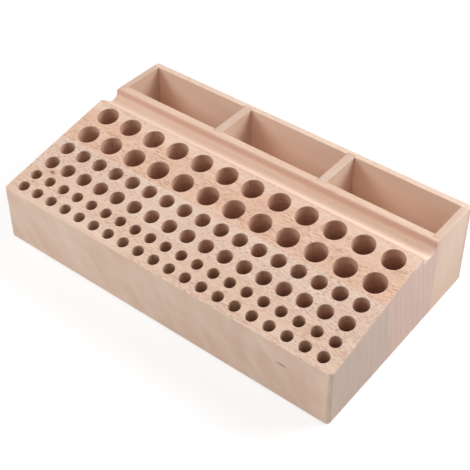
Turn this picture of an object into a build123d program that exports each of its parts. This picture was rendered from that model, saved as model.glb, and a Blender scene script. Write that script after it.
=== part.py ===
from build123d import *
import math
import os

# Wooden tool holder block: a beech block with a sloping deck of blind holes in three
# sizes, a cove along the back of the deck, and an open tray of three compartments.
# Millimetres. X runs along the length, -Y is the front, Z is up. The origin is the
# middle of the footprint, on the surface that the block stands on.

# Overall sizes
block_length = 300.0
front_height = 48.5        # front face, from the base to the front edge of the deck
deck_slope = 11.62         # degrees, rising towards the back
rim_rise = 0.5             # the tray rim stands this far above the crest of the deck
corner_radius = 3.0        # the four upright outer corners
front_arris = 3.0          # the front edge of the deck
arris = 1.5                # light rounding of every other outer edge

# Drilled rows, from the front: two of each size, square to the deck
small_diameter = 9.0
small_depth = 32.0
small_pitch = 14.45
small_row_gap = 13.4
medium_diameter = 12.0
medium_depth = 38.0
medium_pitch = 16.95
medium_row_gap = 17.2
large_diameter = 17.5
large_depth = 46.0
large_pitch = 24.1
large_row_gap = 22.8
large_row_shift = 1.0      # the two large rows sit a little right of the middle
front_margin = 4.7         # wood left between the front edge and the first row
size_margin = 5.0          # wood left between rows of different sizes
crest_margin = 2.65        # wood left between the last row and the crest
end_margin = 12.0          # least distance from an end to a hole's centre

# Cove and tray
cove_width = 18.8          # from the crest to the front of the rim
cove_fall = 34.0           # degrees, how steeply the cove falls away behind the crest
cove_wall = 80.0           # degrees, how steeply it climbs to the rim
cove_radius = 6.0
rail_thickness = 7.2       # front wall of the tray, at the rim
tray_width = 37.0          # inside, front to back
tray_depth = 38.0          # inside, from the rim down to the floor
compartments = 3
board_thickness = 6.0      # back board and end boards
end_board_lap = 4.0        # how far each end board is let into the cove rail
divider_thickness = 7.0
housing_depth = 2.0        # grooves that hold the edges of a divider
housing_clearance = 0.1    # each side of a divider in its groove

# Rows along the deck, measured from its front edge
slope = math.radians(deck_slope)
small_radius = small_diameter / 2
medium_radius = medium_diameter / 2
large_radius = large_diameter / 2
small_rows = [front_margin + small_radius]
small_rows.append(small_rows[0] + small_row_gap)
medium_rows = [small_rows[1] + small_radius + size_margin + medium_radius]
medium_rows.append(medium_rows[0] + medium_row_gap)
large_rows = [medium_rows[1] + medium_radius + size_margin + large_radius]
large_rows.append(large_rows[0] + large_row_gap)

# Glue joints between the staves lie midway in the wood between two hole sizes
front_joint = small_rows[1] + small_radius + size_margin / 2
rear_joint = medium_rows[1] + medium_radius + size_margin / 2
deck_length = large_rows[1] + large_radius + crest_margin

# Levels and depths that follow from the rows
deck_run = deck_length * math.cos(slope)
crest_height = front_height + deck_length * math.sin(slope)
rim_height = crest_height + rim_rise
block_depth = deck_run + cove_width + rail_thickness + tray_width + board_thickness
front_y = -block_depth / 2
back_y = block_depth / 2
crest_y = front_y + deck_run
rim_front_y = crest_y + cove_width
tray_front_y = rim_front_y + rail_thickness
tray_back_y = tray_front_y + tray_width
tray_floor_z = rim_height - tray_depth
half_length = block_length / 2
inner_half = half_length - board_thickness
deck_plane = Plane(
    origin=(0, front_y, front_height),
    x_dir=(1, 0, 0),
    z_dir=(0, -math.sin(slope), math.cos(slope)),
)


def deck_point(distance):
    """Y and Z of a point on the deck, at a distance from its front edge."""
    return (
        front_y + distance * math.cos(slope),
        front_height + distance * math.sin(slope),
    )


def base_point(distance):
    """Where a joint that is square to the deck at that distance meets the base."""
    y, z = deck_point(distance)
    return (y + z * math.tan(slope), 0)


def row_points(distances, pitch, shift=0.0):
    """Hole centres on the deck plane: as many as fit, evenly spaced on each row."""
    count = int((block_length - 2 * end_margin) / pitch) + 1
    first = shift - (count - 1) * pitch / 2
    return [(first + i * pitch, distance) for distance in distances for i in range(count)]


def middle_of(start, end):
    return ((start[0] + end[0]) / 2, (start[1] + end[1]) / 2)


def show_edges(piece, glued_middles):
    """Edges between two faces that both show, apart from upright ones.

    A glued face runs along the length, and is told by the Y and Z of its middle.
    """
    tolerance = 0.01

    def shows(face):
        middle = face.center()
        return all(
            abs(middle.Y - y) > tolerance or abs(middle.Z - z) > tolerance
            for y, z in glued_middles
        )

    faces_shown = piece.faces().filter_by(shows)
    upright = piece.edges().filter_by(Axis.Z)
    return piece.edges().filter_by(
        lambda edge: edge not in upright
        and sum(edge in face.edges() for face in faces_shown) == 2
    )


def joint_middle(distance):
    """Middle of the glued face that is square to the deck at that distance."""
    return middle_of(deck_point(distance), base_point(distance))


# Front stave: upright front face, and the two rows of small holes
with BuildPart() as front_stave:
    with BuildSketch(Plane.YZ):
        with BuildLine():
            Polyline(
                (front_y, 0),
                deck_point(0),
                deck_point(front_joint),
                base_point(front_joint),
                close=True,
            )
        make_face()
    extrude(amount=half_length, both=True)
    fillet(front_stave.edges().filter_by(Axis.Z), corner_radius)
    front_edges = front_stave.edges().filter_by(Axis.X).group_by(Axis.Y)[0]
    fillet(front_edges.sort_by(Axis.Z)[-1], front_arris)
    fillet(show_edges(front_stave, [joint_middle(front_joint)]), arris)
    with Locations(deck_plane):
        with Locations(*row_points(small_rows, small_pitch)):
            Hole(small_radius, depth=small_depth)
front_stave.part.label = "front_stave"

# Middle stave: the two rows of medium holes
with BuildPart() as middle_stave:
    with BuildSketch(Plane.YZ):
        with BuildLine():
            Polyline(
                base_point(front_joint),
                deck_point(front_joint),
                deck_point(rear_joint),
                base_point(rear_joint),
                close=True,
            )
        make_face()
    extrude(amount=half_length, both=True)
    middle_joints = [joint_middle(front_joint), joint_middle(rear_joint)]
    fillet(show_edges(middle_stave, middle_joints), arris)
    with Locations(deck_plane):
        with Locations(*row_points(medium_rows, medium_pitch)):
            Hole(medium_radius, depth=medium_depth)
middle_stave.part.label = "middle_stave"

# Rear stave: the two rows of large holes, up to the crest
with BuildPart() as rear_stave:
    with BuildSketch(Plane.YZ):
        with BuildLine():
            Polyline(
                base_point(rear_joint),
                deck_point(rear_joint),
                deck_point(deck_length),
                base_point(deck_length),
                close=True,
            )
        make_face()
    extrude(amount=half_length, both=True)
    rear_joints = [joint_middle(rear_joint), joint_middle(deck_length)]
    fillet(show_edges(rear_stave, rear_joints), arris)
    with Locations(deck_plane):
        with Locations(*row_points(large_rows, large_pitch, large_row_shift)):
            Hole(large_radius, depth=large_depth)
rear_stave.part.label = "rear_stave"

# Corner where the cove's fall and its wall would meet if they weren't rounded together
fall = math.tan(math.radians(cove_fall))
lean = 1 / math.tan(math.radians(cove_wall))
corner_run = (cove_width - lean * rim_rise) / (1 + lean * fall)
cove_corner = (crest_y + corner_run, crest_height - corner_run * fall)

# The dividers share the inside length evenly
compartment_length = (
    2 * inner_half - (compartments - 1) * divider_thickness
) / compartments
divider_middles = [
    -inner_half + i * (compartment_length + divider_thickness) - divider_thickness / 2
    for i in range(1, compartments)
]
housing_width = divider_thickness + 2 * housing_clearance
housing_middle_z = rim_height - tray_depth / 2

# Cove rail: falls away behind the crest and sweeps up to the rim. Its back is the
# front wall of the tray, and the end boards are let into its ends.
with BuildPart() as cove_rail:
    with BuildSketch(Plane.YZ):
        with BuildLine():
            cove = FilletPolyline(
                (crest_y, crest_height),
                cove_corner,
                (rim_front_y, rim_height),
                radius=cove_radius,
            )
            Polyline(
                cove @ 1,
                (tray_front_y, rim_height),
                (tray_front_y, 0),
                base_point(deck_length),
                cove @ 0,
            )
        make_face()
    extrude(amount=half_length, both=True)
    tray_wall_middle = (tray_front_y, rim_height / 2)
    fillet(show_edges(cove_rail, [joint_middle(deck_length), tray_wall_middle]), arris)
    with Locations((half_length, tray_front_y, 0), (-half_length, tray_front_y, 0)):
        Box(
            2 * board_thickness,
            2 * end_board_lap,
            rim_height,
            align=(Align.CENTER, Align.CENTER, Align.MIN),
            mode=Mode.SUBTRACT,
        )
    with Locations(*[(x, tray_front_y, housing_middle_z) for x in divider_middles]):
        Box(housing_width, 2 * housing_depth, tray_depth, mode=Mode.SUBTRACT)
cove_rail.part.label = "cove_rail"

# Tray bed: the solid stave under the compartments, whose top is the tray floor
with BuildPart() as tray_bed:
    with BuildSketch(Plane.YZ):
        with Locations(((tray_front_y + tray_back_y) / 2, tray_floor_z / 2)):
            Rectangle(tray_width, tray_floor_z)
    extrude(amount=inner_half, both=True)
tray_bed.part.label = "tray_bed"

# Back board: full length and full height, grooved for the dividers
with BuildPart() as back_board:
    with BuildSketch(Plane.YZ):
        with Locations(((tray_back_y + back_y) / 2, rim_height / 2)):
            Rectangle(board_thickness, rim_height)
    extrude(amount=half_length, both=True)
    fillet(back_board.edges().filter_by(Axis.Z).group_by(Axis.Y)[-1], corner_radius)
    fillet(show_edges(back_board, [(tray_back_y, rim_height / 2)]), arris)
    with Locations(*[(x, tray_back_y, housing_middle_z) for x in divider_middles]):
        Box(housing_width, 2 * housing_depth, tray_depth, mode=Mode.SUBTRACT)
back_board.part.label = "back_board"

# End boards: base to rim, from their rebate in the cove rail to the back board
end_board_length = tray_width + end_board_lap
with BuildPart() as right_end_board:
    with BuildSketch(Plane.YZ.offset(inner_half)):
        with Locations((tray_back_y - end_board_length / 2, rim_height / 2)):
            Rectangle(end_board_length, rim_height)
    extrude(amount=board_thickness)
    fillet(right_end_board.edges().filter_by(Axis.Y).group_by(Axis.X)[-1], arris)
right_end_board.part.label = "right_end_board"

with BuildPart() as left_end_board:
    mirror(right_end_board.part, about=Plane.YZ)
left_end_board.part.label = "left_end_board"

# Dividers: their edges seat in the grooves of the cove rail and the back board
dividers = []
for number, divider_x in enumerate(divider_middles, start=1):
    with BuildPart() as divider:
        with BuildSketch(Plane.YZ.offset(divider_x - divider_thickness / 2)):
            with Locations(((tray_front_y + tray_back_y) / 2, housing_middle_z)):
                Rectangle(tray_width + 2 * housing_depth, tray_depth)
        extrude(amount=divider_thickness)
    divider.part.label = f"divider_{number}"
    dividers.append(divider)

os.makedirs("parts", exist_ok=True)
export_step(front_stave.part, "parts/front_stave.step")
export_step(middle_stave.part, "parts/middle_stave.step")
export_step(rear_stave.part, "parts/rear_stave.step")
export_step(cove_rail.part, "parts/cove_rail.step")
export_step(tray_bed.part, "parts/tray_bed.step")
export_step(back_board.part, "parts/back_board.step")
export_step(right_end_board.part, "parts/right_end_board.step")
export_step(left_end_board.part, "parts/left_end_board.step")
for divider in dividers:
    export_step(divider.part, f"parts/{divider.part.label}.step")
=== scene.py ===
import math

import bmesh
import bpy
from mathutils import Matrix, Vector


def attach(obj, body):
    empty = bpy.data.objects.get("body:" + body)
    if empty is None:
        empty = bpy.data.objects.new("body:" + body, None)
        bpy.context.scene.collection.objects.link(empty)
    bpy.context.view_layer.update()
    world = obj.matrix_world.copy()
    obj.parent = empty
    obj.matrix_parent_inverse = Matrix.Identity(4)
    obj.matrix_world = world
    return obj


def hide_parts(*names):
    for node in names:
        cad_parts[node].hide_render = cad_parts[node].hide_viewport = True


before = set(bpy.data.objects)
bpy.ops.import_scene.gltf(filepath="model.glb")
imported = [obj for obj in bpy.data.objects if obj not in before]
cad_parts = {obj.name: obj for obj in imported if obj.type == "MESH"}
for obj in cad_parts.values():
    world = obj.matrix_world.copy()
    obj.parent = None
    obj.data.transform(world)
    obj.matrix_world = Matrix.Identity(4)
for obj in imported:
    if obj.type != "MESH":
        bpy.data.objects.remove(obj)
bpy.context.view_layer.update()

# Wooden tool holder block: a beech block whose sloping deck is drilled with 98 blind holes in
# three sizes, a cove behind the deck, and an open tray of three compartments. The frame is the
# CAD's: X along the length, -Y the front, Z up, the ground at Z 0. Sizes here are in millimetres
# and become metres where a shape is made.

MM = 0.001

# Sizes that the solids have too
half_length = 150.0
front_height = 48.5
slope = math.radians(11.62)
corner_radius = 3.0
front_arris = 3.0          # the front edge of the deck
arris = 1.5
deck_length = 109.25
front_joint = 29.6         # along the deck, from its front edge
rear_joint = 63.8
rim_rise = 0.5
cove_width = 18.8
cove_fall = math.radians(34.0)
cove_wall = math.radians(80.0)
cove_radius = 6.0
rail_thickness = 7.2
tray_width = 37.0
tray_depth = 38.0
board_thickness = 6.0
end_board_lap = 4.0
divider_thickness = 7.0
housing_depth = 2.0
housing_clearance = 0.1
divider_x = 49.1667        # middle of each divider, left and right of the middle

# Radius, depth, distances of its two rows along the deck, pitch, number in a row, and shift
# to the right, for the small, medium and large holes
small_holes = (4.5, 32.0, (9.2, 22.6), 14.45, 20, 0.0)
medium_holes = (6.0, 38.0, (38.1, 55.3), 16.95, 17, 0.0)
large_holes = (8.75, 46.0, (75.05, 97.85), 24.1, 12, 1.0)

# Small things that only show here
rim_ease = 0.3             # the sharp mouth of a hole, taken off by light sanding
joint_ease = 0.12          # the hairline where two glued pieces meet
inner_ease = 0.5           # the edges inside the tray, eased by hand

# How finely round things are drawn
hole_sides = 64
corner_steps = 6
front_arris_steps = 8
arris_steps = 4
inner_steps = 3
chamfer = 1                # a flat cut in place of a rounding
cove_steps = 14

spare = 5.0                # wood that a later cut takes off, and how far a cutter stands out
bit_over = 1.0             # how far a drill bit stands out of the deck
touch = 0.01               # closer than this counts as on a line or plane
facing_up = 0.9            # a normal's Z, over which a face looks up
# Edges sharper than this are eased, and stay crisp in the shading
sharp = math.radians(30.0)

block_depth = deck_length * math.cos(slope) + cove_width + rail_thickness
block_depth += tray_width + board_thickness
front_y = -block_depth / 2
back_y = block_depth / 2
crest_y = front_y + deck_length * math.cos(slope)
crest_z = front_height + deck_length * math.sin(slope)
rim_z = crest_z + rim_rise
rim_front_y = crest_y + cove_width
tray_front_y = rim_front_y + rail_thickness
tray_back_y = tray_front_y + tray_width
tray_floor_z = rim_z - tray_depth
inner_half = half_length - board_thickness
along_deck = Vector((0, math.cos(slope), math.sin(slope)))
off_deck = Vector((0, -math.sin(slope), math.cos(slope)))
to_back = Vector((0, 1, 0))
to_right = Vector((1, 0, 0))


def deck_point(distance, x=0.0):
    """The point on the deck at a distance from its front edge."""
    return Vector((x, front_y, front_height)) + distance * along_deck


# Camera, at the photograph's viewing angle
camera_data = bpy.data.cameras.new("camera")
camera_data.sensor_width = 36.0
camera_data.lens = 82.86
camera_data.shift_x = -0.0574
camera_data.shift_y = -0.1596
camera = bpy.data.objects.new("camera", camera_data)
camera.location = (0.3806, -0.4737, 0.5724)
camera.rotation_euler = [math.radians(angle) for angle in (51.757, -0.778, 37.355)]
bpy.context.scene.collection.objects.link(camera)
bpy.context.scene.camera = camera
bpy.context.scene.view_settings.view_transform = "Standard"


def colour(hex_value):
    """An sRGB colour such as #EBCDB5, as the linear colour that a socket takes."""
    channels = [int(hex_value[i:i + 2], 16) / 255 for i in (1, 3, 5)]
    linear = [c / 12.92 if c <= 0.04045 else ((c + 0.055) / 1.055) ** 2.4 for c in channels]
    return (*linear, 1.0)


def add(tree, kind, inputs=None, **settings):
    """Adds a node to a material. An input that is a socket is linked, and another is a value."""
    node = tree.nodes.new(kind)
    for name, value in settings.items():
        setattr(node, name, value)
    for name, value in (inputs or {}).items():
        if isinstance(value, bpy.types.NodeSocket):
            tree.links.new(value, node.inputs[name])
        else:
            node.inputs[name].default_value = value
    return node


def empty_material(name):
    material = bpy.data.materials.new(name)
    material.use_nodes = True
    material.node_tree.nodes.clear()
    return material, material.node_tree


def figure(tree, place, lengths, low, high, amount=1.0, detail=2.0):
    """A figure in the wood whose marks are about as long as lengths, in millimetres, along
    each axis: none of it where the noise is under low, and amount of it where over high."""
    scaled = add(
        tree,
        "ShaderNodeVectorMath",
        {0: place, 1: [1 / length for length in lengths]},
        operation="MULTIPLY",
    )
    noise = add(
        tree, "ShaderNodeTexNoise", {"Vector": scaled.outputs[0], "Scale": 1.0, "Detail": detail}
    )
    return add(
        tree,
        "ShaderNodeMapRange",
        {"Value": noise.outputs[0], "From Min": low, "From Max": high, "To Max": amount},
    ).outputs[0]


def lay(tree, base, tint, share, *masks):
    """Lays a tint over a base colour by a share from 0 to 1, where the masks let it through."""
    for mask in masks:
        share = add(tree, "ShaderNodeMath", {0: share, 1: mask}, operation="MULTIPLY").outputs[0]
    return add(
        tree, "ShaderNodeMix", {0: share, 6: base, 7: colour(tint)}, data_type="RGBA"
    ).outputs[2]


# How long each mark in the beech is, in millimetres: along the grain, across it, and through
# the board. Real ray ends are 0.15 mm wide, and are drawn about three times as wide to show.
clouds = (95.0, 16.0, 22.0)
ring_bends = (110.0, 34.0, 34.0)
grain_lines = (60.0, 1.6, 26.0)
end_lines = (200.0, 1.0, 45.0)
ray_ends = (3.4, 0.8, 15.0)
ray_patches = (60.0, 14.0, 30.0)
side_bands = (((60.0, 40.0, 13.0), "#F6E3D6"), ((34.0, 60.0, 17.0), "#DDB49D"))
drill_rings = (22.0, 22.0, 1.1)
ring_gap = 3.4             # from one growth ring to the next
ring_drift = 20.0          # how far a ring wanders along the board
band_lean = math.radians(-53.0)
wood_ior = 1.5
sanded_roughness = 0.6
drilled_roughness = 0.75
relief_strength = 0.2
relief_depth = 0.05


def sanded_beech(
    name, pale, warm, dark, seat,
    end=None, rays=0.5, bands=0.0, lean=-5.0, turn=0.0, marks=(), drilled=False,
):
    """Steamed beech, planed and sanded. It gives the eye a pale pinkish tan with soft clouds,
    faint lengthwise lines, and many short dark dashes where the rays end. End grain is greyer,
    with fine upright lines. A front face can have soft slanting bands. Where a drill has cut
    it, the wall has faint rings round it.

    Grain runs along X, or is turned about Z by turn degrees, and leans by lean degrees. seat
    moves the pattern, in millimetres, so that no two pieces are alike. end is the two colours
    of the end grain. rays and bands are how strong those are. Each mark is a knot, a stain, a
    painted highlight or a painted shade: its centre, how far it reaches each way, its strength
    and its tint.
    """
    material, tree = empty_material(name)
    place = add(tree, "ShaderNodeTexCoord").outputs["Object"]
    grain = add(
        tree,
        "ShaderNodeMapping",
        {
            "Vector": place,
            "Location": seat,
            "Rotation": (math.radians(lean), 0.0, math.radians(turn)),
            "Scale": (1 / MM, 1 / MM, 1 / MM),
        },
    ).outputs[0]

    # Which faces look along X, which look forward, and which do neither
    normal = add(tree, "ShaderNodeNewGeometry").outputs["Normal"]
    facing = add(tree, "ShaderNodeSeparateXYZ", {0: normal})
    across = add(tree, "ShaderNodeMath", {0: facing.outputs["X"]}, operation="ABSOLUTE")
    on_end = add(
        tree,
        "ShaderNodeMapRange",
        {"Value": across.outputs[0], "From Min": 0.75, "From Max": 0.98},
    ).outputs[0]
    on_side = add(
        tree,
        "ShaderNodeMapRange",
        {"Value": facing.outputs["Y"], "From Min": -0.6, "From Max": -0.95},
    ).outputs[0]
    off_side = add(tree, "ShaderNodeMath", {0: 1.0, 1: on_side}, operation="SUBTRACT").outputs[0]
    off_end = add(tree, "ShaderNodeMath", {0: 1.0, 1: on_end}, operation="SUBTRACT").outputs[0]

    # Slow changes of tone over 15 to 100 mm
    base = add(
        tree,
        "ShaderNodeMix",
        {
            0: figure(tree, grain, clouds, low=0.36, high=0.64),
            6: colour(pale),
            7: colour(warm),
        },
        data_type="RGBA",
    ).outputs[2]

    # Growth rings, each darker towards its late wood, and bent slowly along the board
    bend = figure(tree, grain, ring_bends, low=0.0, high=1.0, amount=ring_drift, detail=1.0)
    height = add(tree, "ShaderNodeSeparateXYZ", {0: grain}).outputs["Z"]
    bent = add(tree, "ShaderNodeMath", {0: height, 1: bend}, operation="ADD").outputs[0]
    ring = add(tree, "ShaderNodeMath", {0: bent, 1: ring_gap}, operation="DIVIDE").outputs[0]
    phase = add(tree, "ShaderNodeMath", {0: ring}, operation="FRACT").outputs[0]
    late_wood = add(
        tree,
        "ShaderNodeMapRange",
        {"Value": phase, "From Min": 0.5, "From Max": 1.0, "To Max": 0.12},
    ).outputs[0]
    base = lay(tree, base, dark, late_wood, off_side, off_end)

    # Lengthwise lines 1 to 2 mm apart, which are the pores and rays cut along
    lines = figure(tree, grain, grain_lines, low=0.42, high=0.68, detail=3.0)
    base = lay(tree, base, warm, lines, off_side, off_end)

    # End grain, with the rays as upright lines about 1 mm apart
    if end:
        pale_end, dark_end = end
        upright_rays = figure(tree, grain, end_lines, low=0.36, high=0.68, amount=0.7)
        base = lay(tree, base, pale_end, on_end)
        base = lay(tree, base, dark_end, upright_rays, on_end)

    # Soft pale and pink bands that run down across the front
    side_grain = add(
        tree, "ShaderNodeMapping", {"Vector": grain, "Rotation": (0.0, band_lean, 0.0)}
    ).outputs[0]
    for lengths, tint in side_bands:
        band = figure(tree, side_grain, lengths, low=0.46, high=0.72, amount=bands, detail=3.0)
        base = lay(tree, base, tint, band, on_side)

    # Ray ends, thicker in some patches than in others
    dashes = figure(tree, grain, ray_ends, low=0.47, high=0.66, amount=rays)
    patches = figure(tree, grain, ray_patches, low=0.2, high=0.55)
    base = lay(tree, base, dark, dashes, patches, off_side, off_end)

    for centre, reach, strength, tint in marks:
        from_centre = add(
            tree,
            "ShaderNodeVectorMath",
            {0: place, 1: [c * MM for c in centre]},
            operation="SUBTRACT",
        ).outputs[0]
        away = add(
            tree,
            "ShaderNodeVectorMath",
            {0: from_centre, 1: [1 / (r * MM) for r in reach]},
            operation="MULTIPLY",
        ).outputs[0]
        distance = add(tree, "ShaderNodeVectorMath", {0: away}, operation="LENGTH")
        spot = add(
            tree,
            "ShaderNodeMapRange",
            {
                "Value": distance.outputs["Value"],
                "From Min": 1.0,
                "From Max": 0.35,
                "To Max": strength,
            },
        ).outputs[0]
        base = lay(tree, base, tint, spot)

    relief = lines
    roughness = sanded_roughness
    if drilled:
        # Turned with the deck, so that the drill's rings lie square to the hole
        drill_place = add(
            tree,
            "ShaderNodeMapping",
            {
                "Vector": place,
                "Rotation": (-slope, 0.0, 0.0),
                "Scale": (1 / MM, 1 / MM, 1 / MM),
            },
        ).outputs[0]
        relief = figure(tree, drill_place, drill_rings, low=0.4, high=0.68, amount=0.28)
        base = lay(tree, base, dark, relief)
        roughness = drilled_roughness
    bump = add(
        tree,
        "ShaderNodeBump",
        {"Height": relief, "Strength": relief_strength, "Distance": relief_depth * MM},
    )
    shader = add(
        tree,
        "ShaderNodeBsdfPrincipled",
        {"Base Color": base, "Roughness": roughness, "IOR": wood_ior, "Normal": bump.outputs[0]},
    )
    add(tree, "ShaderNodeOutputMaterial", {"Surface": shader.outputs[0]})
    return material


grey_end = ("#CBB5A8", "#BBA598")
pink_end = ("#D4B8AC", "#C4A69A")
small_knot = ((-128.0, -58.2, 54.6), (3.4, 2.6, 4.0), 0.85, "#8A5A45")
knot_glow = ((-128.0, -58.2, 54.6), (11.0, 7.0, 9.0), 0.35, "#D9A283")
hole_stain = ((119.0, -67.0, 52.8), (9.0, 6.5, 6.0), 0.3, "#C98F6E")
side_fleck = ((111.0, front_y, 32.6), (5.0, 3.0, 1.1), 0.75, "#8E6152")
# Painted highlight: paler bands along the crest, on the deck before it and on the cove's fall
# after it, where the light from behind falls
crest_painted_highlight = ((0.0, 13.4, 69.3), (900.0, 7.0, 7.0), 0.4, "#FBE3D0")
fall_painted_highlight = ((0.0, 25.0, 66.7), (900.0, 10.0, 7.0), 0.5, "#FFEBDC")
# Painted shade: a darker pink band at the top of the cove's wall, under the rim, where the wall
# shades it
under_rim_painted_shade = ((0.0, 37.4, 68.9), (900.0, 2.8, 4.4), 0.55, "#C4907A")

front_seat = (40.0, 3.0, 11.0)
front_beech = sanded_beech(
    "front_stave_sanded_beech", "#EFD2BD", "#E8C7B0", "#AB785E", front_seat,
    end=grey_end, rays=0.5, bands=0.45, marks=(knot_glow, hole_stain, side_fleck),
)
# Each drilled copy is darker than its stave: partly the rougher drilled end grain, and partly
# painted shade inside the holes
front_bored_shaded = sanded_beech(
    "front_stave_drilled_shaded_beech", "#D8B8A2", "#CCA88F", "#8A5D48", front_seat, drilled=True
)
middle_seat = (-210.0, 31.0, -17.0)
middle_beech = sanded_beech(
    "middle_stave_sanded_beech", "#F1D7C4", "#E8C9B4", "#A5765F", middle_seat,
    end=grey_end, rays=0.62, marks=(knot_glow, small_knot),
)
middle_bored_shaded = sanded_beech(
    "middle_stave_drilled_shaded_beech", "#E1BDA7", "#D4AD96", "#8C5D49", middle_seat, drilled=True
)
rear_seat = (330.0, -52.0, 47.0)
# The rear stave has a painted highlight along the crest
rear_beech = sanded_beech(
    "rear_stave_sanded_beech", "#F1CEB6", "#E9BFA5", "#A87157", rear_seat,
    end=pink_end, rays=0.6, lean=-9.0, marks=(crest_painted_highlight,),
)
rear_bored_shaded = sanded_beech(
    "rear_stave_drilled_shaded_beech", "#E6C0AA", "#D9AE95", "#8F5F4B", rear_seat, drilled=True
)
# The rail has a painted highlight on the cove's fall and painted shade under the rim
rail_beech = sanded_beech(
    "cove_rail_sanded_beech", "#EFD0BA", "#E7C4AC", "#B67F64", (-470.0, 83.0, 5.0),
    end=pink_end, rays=0.25, lean=-12.0, marks=(fall_painted_highlight, under_rim_painted_shade),
)
board_beech = sanded_beech(
    "back_board_sanded_beech", "#F1D7C4", "#EACDB8", "#B07D63", (610.0, -120.0, 29.0),
    end=pink_end, rays=0.2, lean=80.0,
)
end_beech = sanded_beech(
    "end_board_sanded_beech", "#DFC4B2", "#D7B9A4", "#AA816B", (90.0, 210.0, -61.0),
    rays=0.2, lean=80.0, turn=90.0,
)
bed_beech = sanded_beech(
    "tray_bed_sanded_beech", "#E2C0A8", "#D3A98D", "#94644B", (-730.0, -9.0, 71.0), rays=0.3
)


def work_on(piece):
    """Selects one piece alone, for the operators that follow."""
    bpy.ops.object.select_all(action="DESELECT")
    piece.select_set(True)
    bpy.context.view_layer.objects.active = piece


def board(name, low, high, *materials):
    """A sawn board between two corners, in millimetres."""
    middle = [(a + b) / 2 * MM for a, b in zip(low, high)]
    bpy.ops.object.select_all(action="DESELECT")
    bpy.ops.mesh.primitive_cube_add(size=1.0, location=middle)
    piece = bpy.context.object
    piece.name = name
    piece.scale = [(b - a) * MM for a, b in zip(low, high)]
    bpy.ops.object.transform_apply(location=True, rotation=True, scale=True)
    for material in materials:
        piece.data.materials.append(material)
    return piece


def plane_off(piece, point, outward):
    """Takes off all that lies beyond a plane, and leaves a flat face there."""
    work_on(piece)
    bpy.ops.object.mode_set(mode="EDIT")
    bpy.ops.mesh.select_all(action="SELECT")
    bpy.ops.mesh.bisect(
        plane_co=Vector(point) * MM, plane_no=outward, use_fill=True, clear_outer=True
    )
    bpy.ops.object.mode_set(mode="OBJECT")


def lies_on(edge, point, normal):
    """Whether an edge lies on the plane through a point, square to a normal."""
    return all(
        abs((vertex.co / MM - Vector(point)).dot(normal)) < touch for vertex in edge.verts
    )


def is_upright(edge):
    a, b = edge.verts
    return (a.co - b.co).xy.length < touch * MM


def is_sharp(edge):
    return edge.calc_face_angle() > sharp


def ease(piece, width, steps, chosen):
    """Rounds the edges that chosen picks, by width in millimetres."""
    work_on(piece)
    bpy.ops.object.mode_set(mode="EDIT")
    bpy.ops.mesh.select_mode(type="EDGE")
    bpy.ops.mesh.select_all(action="DESELECT")
    shape = bmesh.from_edit_mesh(piece.data)
    for edge in shape.edges:
        if len(edge.link_faces) == 2 and chosen(edge):
            edge.select = True
    shape.select_flush_mode()
    bmesh.update_edit_mesh(piece.data)
    bpy.ops.mesh.bevel(offset=width * MM, segments=steps, profile=0.5, affect="EDGES")
    bpy.ops.object.mode_set(mode="OBJECT")


def ease_outside(piece, *glued):
    """Rounds every outer edge that isn't upright or on a glued face, and then takes a hair
    off the edges of the glued faces. Each glued face is a point and a normal."""
    def is_glued(edge):
        return any(lies_on(edge, *face) for face in glued)

    ease(
        piece, arris, arris_steps,
        lambda edge: is_sharp(edge) and not is_upright(edge) and not is_glued(edge),
    )
    ease(piece, joint_ease, chamfer, lambda edge: is_sharp(edge) and is_glued(edge))


def cut(piece, cutter):
    """Cuts one piece with another, which is then thrown away."""
    work_on(piece)
    bpy.ops.object.modifier_add(type="BOOLEAN")
    modifier = piece.modifiers[-1]
    modifier.operation = "DIFFERENCE"
    modifier.solver = "EXACT"
    modifier.material_mode = "TRANSFER"
    modifier.object = cutter
    bpy.ops.object.modifier_apply(modifier=modifier.name)
    bpy.data.objects.remove(cutter)


def drill(piece, holes, solid, bored_shaded):
    """Drills the two rows of one size, square to the deck, with lightly eased mouths."""
    radius, depth, distances, pitch, count, shift = holes
    bpy.ops.object.select_all(action="DESELECT")
    bpy.ops.mesh.primitive_cylinder_add(
        vertices=hole_sides,
        radius=radius * MM,
        depth=(depth - rim_ease) * MM,
        location=(0, 0, -(depth + rim_ease) / 2 * MM),
    )
    bit = bpy.context.object
    bpy.ops.object.transform_apply(location=True, rotation=True, scale=True)
    # The hole walls get the darker drilled beech, which is partly painted shade
    bit.data.materials.append(bored_shaded)
    bit.data.materials.append(solid)
    bpy.ops.object.mode_set(mode="EDIT")
    bpy.ops.mesh.select_mode(type="FACE")
    bpy.ops.mesh.select_all(action="DESELECT")
    shape = bmesh.from_edit_mesh(bit.data)
    for face in shape.faces:
        face.select = face.normal.z > facing_up
    shape.select_flush_mode()
    bmesh.update_edit_mesh(bit.data)
    # The cone that eases the mouth goes on past the deck, so that the cut there is clean
    cone_height = rim_ease + bit_over
    bpy.ops.mesh.extrude_region_move(TRANSFORM_OT_translate={"value": (0, 0, cone_height * MM)})
    wider = (radius + cone_height) / radius
    bpy.ops.transform.resize(value=(wider, wider, 1), center_override=(0, 0, 0))
    bpy.ops.object.mode_set(mode="OBJECT")
    for face in bit.data.polygons:
        face.material_index = 1 if face.center.z > -rim_ease * MM else 0

    bits = []
    for distance in distances:
        for i in range(count):
            x = shift + (i - (count - 1) / 2) * pitch
            copy = bit.copy()
            copy.data = bit.data.copy()
            copy.data.transform(
                Matrix.Translation(deck_point(distance, x) * MM) @ Matrix.Rotation(slope, 4, "X")
            )
            bpy.context.scene.collection.objects.link(copy)
            bits.append(copy)
    bpy.data.objects.remove(bit)
    bpy.ops.object.select_all(action="DESELECT")
    for copy in bits:
        copy.select_set(True)
    bpy.context.view_layer.objects.active = bits[0]
    bpy.ops.object.join()
    cut(piece, bits[0])


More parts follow.
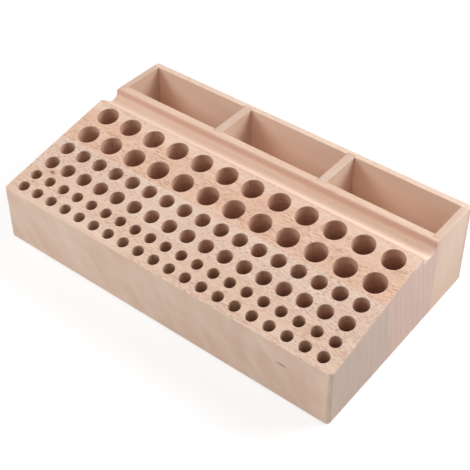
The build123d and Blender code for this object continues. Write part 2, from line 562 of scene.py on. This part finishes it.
def finish(piece, node):
    """Smooths the round faces, keeps the flat ones flat, and puts the piece in the frame."""
    work_on(piece)
    bpy.ops.object.shade_smooth_by_angle(angle=sharp)
    bpy.ops.object.modifier_add(type="WEIGHTED_NORMAL")
    modifier = piece.modifiers[-1]
    modifier.keep_sharp = True
    modifier.weight = 100
    bpy.ops.object.modifier_apply(modifier=modifier.name)
    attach(piece, "root")
    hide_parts(node)


# The drilled block: three staves glued edge to edge, planed to the slope of the deck
def stave(name, start, end, solid, bored_shaded):
    """One stave between two distances along the deck, both cut square to it."""
    low_y = front_y if start == 0 else front_y + (start - spare) * math.cos(slope)
    piece = board(
        name, (-half_length, low_y, 0), (half_length, back_y, rim_z + spare), solid, bored_shaded
    )
    plane_off(piece, deck_point(0), off_deck)
    plane_off(piece, deck_point(end), along_deck)
    if start:
        plane_off(piece, deck_point(start), -along_deck)
    return piece


front_face = ((0, front_y, 0), to_back)
back_face = ((0, back_y, 0), to_back)
deck_face = (deck_point(0), off_deck)
front_joint_face = (deck_point(front_joint), along_deck)
rear_joint_face = (deck_point(rear_joint), along_deck)
crest_face = (deck_point(deck_length), along_deck)
rail_back_face = ((0, tray_front_y, 0), to_back)
tray_back_face = ((0, tray_back_y, 0), to_back)

front_stave = stave("drilled_front_stave", 0, front_joint, front_beech, front_bored_shaded)
ease(
    front_stave, corner_radius, corner_steps,
    lambda edge: is_upright(edge) and lies_on(edge, *front_face),
)
# The round of the deck's front edge starts this far from the edge
front_tangent = front_arris * math.tan((math.pi / 2 - slope) / 2)
ease(
    front_stave, front_tangent, front_arris_steps,
    lambda edge: lies_on(edge, *front_face) and lies_on(edge, *deck_face),
)
ease_outside(front_stave, front_joint_face)
drill(front_stave, small_holes, front_beech, front_bored_shaded)
finish(front_stave, "front_stave")

middle_stave = stave("drilled_middle_stave", front_joint, rear_joint, middle_beech, middle_bored_shaded)
ease_outside(middle_stave, front_joint_face, rear_joint_face)
drill(middle_stave, medium_holes, middle_beech, middle_bored_shaded)
finish(middle_stave, "middle_stave")

rear_stave = stave("drilled_rear_stave", rear_joint, deck_length, rear_beech, rear_bored_shaded)
ease_outside(rear_stave, rear_joint_face, crest_face)
drill(rear_stave, large_holes, rear_beech, rear_bored_shaded)
finish(rear_stave, "rear_stave")


def cove_line():
    """The line of the rail's top from the crest to the rim: a straight fall, a round and a
    steep wall, as points of Y and Z."""
    lean_back = 1 / math.tan(cove_wall)
    corner_run = (cove_width - lean_back * rim_rise) / (1 + lean_back * math.tan(cove_fall))
    corner_y = crest_y + corner_run
    corner_z = crest_z - corner_run * math.tan(cove_fall)
    turn_angle = cove_fall + cove_wall
    tangent = cove_radius * math.tan(turn_angle / 2)
    arc_start_y = corner_y - tangent * math.cos(cove_fall)
    arc_start_z = corner_z + tangent * math.sin(cove_fall)
    arc_y = arc_start_y + cove_radius * math.sin(cove_fall)
    arc_z = arc_start_z + cove_radius * math.cos(cove_fall)
    line = [(crest_y, crest_z)]
    for i in range(cove_steps + 1):
        angle = -math.pi / 2 - cove_fall + turn_angle * i / cove_steps
        line.append(
            (arc_y + cove_radius * math.cos(angle), arc_z + cove_radius * math.sin(angle))
        )
    line.append((rim_front_y, rim_z))
    return line


def hollow(rail, line):
    """Lowers the top of a rail to a line, by cuts across it that are let down one by one."""
    work_on(rail)
    bpy.ops.object.mode_set(mode="EDIT")
    for y, _ in line[1:]:
        bpy.ops.mesh.select_all(action="SELECT")
        bpy.ops.mesh.bisect(plane_co=(0, y * MM, 0), plane_no=to_back)
    bpy.ops.mesh.select_mode(type="VERT")
    for y, z in line:
        bpy.ops.mesh.select_all(action="DESELECT")
        shape = bmesh.from_edit_mesh(rail.data)
        for vertex in shape.verts:
            at_line = abs(vertex.co.y / MM - y) < touch
            vertex.select = at_line and vertex.co.z / MM > rim_z - touch
        shape.select_flush_mode()
        bmesh.update_edit_mesh(rail.data)
        bpy.ops.transform.translate(value=(0, 0, (z - rim_z) * MM))
    bpy.ops.mesh.select_all(action="SELECT")
    bpy.ops.mesh.remove_doubles(threshold=touch * MM)
    bpy.ops.object.mode_set(mode="OBJECT")


def house_dividers(piece, face_y):
    """Grooves for the two dividers, in the face of a wall of the tray."""
    for side in (-1, 1):
        half = divider_thickness / 2 + housing_clearance
        middle = side * divider_x
        groove = board(
            "groove",
            (middle - half, face_y - housing_depth, tray_floor_z),
            (middle + half, face_y + housing_depth, rim_z + spare),
            *piece.data.materials,
        )
        cut(piece, groove)


cove_rail = board(
    "coved_rail", (-half_length, crest_y, 0), (half_length, tray_front_y, rim_z), rail_beech
)
plane_off(cove_rail, deck_point(deck_length), -along_deck)
hollow(cove_rail, cove_line())
ease_outside(cove_rail, crest_face, rail_back_face)
for side in (-1, 1):
    rebate = board(
        "rebate",
        (side * half_length - board_thickness, tray_front_y - end_board_lap, -spare),
        (side * half_length + board_thickness, tray_front_y + end_board_lap, rim_z + spare),
        rail_beech,
    )
    cut(cove_rail, rebate)
house_dividers(cove_rail, tray_front_y)
finish(cove_rail, "cove_rail")

# Tray: a bed stave under it, the back board, the end boards and the dividers
tray_bed = board(
    "tray_bed_stave",
    (-inner_half, tray_front_y, 0), (inner_half, tray_back_y, tray_floor_z), bed_beech,
)
ease(tray_bed, joint_ease, chamfer, is_sharp)
finish(tray_bed, "tray_bed")

back_board = board(
    "tray_back_board",
    (-half_length, tray_back_y, 0), (half_length, back_y, rim_z), board_beech,
)
ease(
    back_board, corner_radius, corner_steps,
    lambda edge: is_upright(edge) and lies_on(edge, *back_face),
)
ease_outside(back_board, tray_back_face)
house_dividers(back_board, tray_back_y)
finish(back_board, "back_board")

for side, name in ((1, "right"), (-1, "left")):
    outer, inner = side * half_length, side * inner_half
    end_board = board(
        f"tray_{name}_end",
        (min(outer, inner), tray_front_y - end_board_lap, 0),
        (max(outer, inner), tray_back_y, rim_z),
        end_beech,
    )
    # The two long edges of the outer face, at the top and the bottom
    ease(
        end_board, arris, arris_steps,
        lambda edge: not is_upright(edge) and lies_on(edge, (outer, 0, 0), to_right),
    )
    ease(end_board, joint_ease, chamfer, is_sharp)
    finish(end_board, f"{name}_end_board")

for number, middle in ((1, -divider_x), (2, divider_x)):
    divider = board(
        f"tray_divider_{number}",
        (middle - divider_thickness / 2, tray_front_y - housing_depth, tray_floor_z),
        (middle + divider_thickness / 2, tray_back_y + housing_depth, rim_z),
        end_beech,
    )
    ease(divider, inner_ease, inner_steps, is_sharp)
    finish(divider, f"divider_{number}")


# A white floor that shows white round the block and keeps its shadow. To the camera it is
# part paint, which takes the shadow, and part light.
white = colour("#FFFFFF")
floor_size = 12000.0
floor_gap = 0.5            # between the floor and the underside
floor_glow = 0.68
floor_material, floor_tree = empty_material("white_floor")
ray = add(floor_tree, "ShaderNodeLightPath")
floor_paint = add(floor_tree, "ShaderNodeBsdfDiffuse", {"Color": colour("#E7E7E7")})
thin_paint = add(floor_tree, "ShaderNodeBsdfDiffuse", {"Color": colour("#AAAAAA")})
floor_light = add(floor_tree, "ShaderNodeEmission", {"Color": white, "Strength": floor_glow})
lit = add(floor_tree, "ShaderNodeAddShader", {0: thin_paint.outputs[0], 1: floor_light.outputs[0]})
seen = add(
    floor_tree,
    "ShaderNodeMixShader",
    {0: ray.outputs["Is Camera Ray"], 1: floor_paint.outputs[0], 2: lit.outputs[0]},
)
add(floor_tree, "ShaderNodeOutputMaterial", {"Surface": seen.outputs[0]})
bpy.ops.object.select_all(action="DESELECT")
bpy.ops.mesh.primitive_plane_add(size=floor_size * MM, location=(0, 0, -floor_gap * MM))
floor = bpy.context.object
floor.name = "floor"
floor.data.materials.append(floor_material)

# Studio light: a dim white room, which looks white, and two soft boxes, at the front left and
# the rear right
room_light = 0.36
world = bpy.data.worlds.new("room")
bpy.context.scene.world = world
world.use_nodes = True
room = world.node_tree
room.nodes.clear()
ray = add(room, "ShaderNodeLightPath")
shown = add(
    room, "ShaderNodeMath",
    {0: ray.outputs["Is Camera Ray"], 1: ray.outputs["Is Glossy Ray"]}, operation="MAXIMUM",
)
strength = add(room, "ShaderNodeMix", {0: shown.outputs[0], 2: room_light, 3: 1.0})
background = add(
    room, "ShaderNodeBackground", {"Color": white, "Strength": strength.outputs[0]}
)
add(room, "ShaderNodeOutputWorld", {"Surface": background.outputs[0]})

for name, place, watts, size in (
    ("left_soft_box", (-0.87, -0.70, 0.84), 8.3, 0.65),
    ("right_soft_box", (0.60, 0.63, 0.68), 8.9, 0.65),
):
    lamp_data = bpy.data.lights.new(name, "AREA")
    lamp_data.energy = watts
    lamp_data.size = size
    lamp = bpy.data.objects.new(name, lamp_data)
    lamp.location = place
    lamp.rotation_euler = (-lamp.location).to_track_quat("-Z", "Y").to_euler()
    bpy.context.scene.collection.objects.link(lamp)
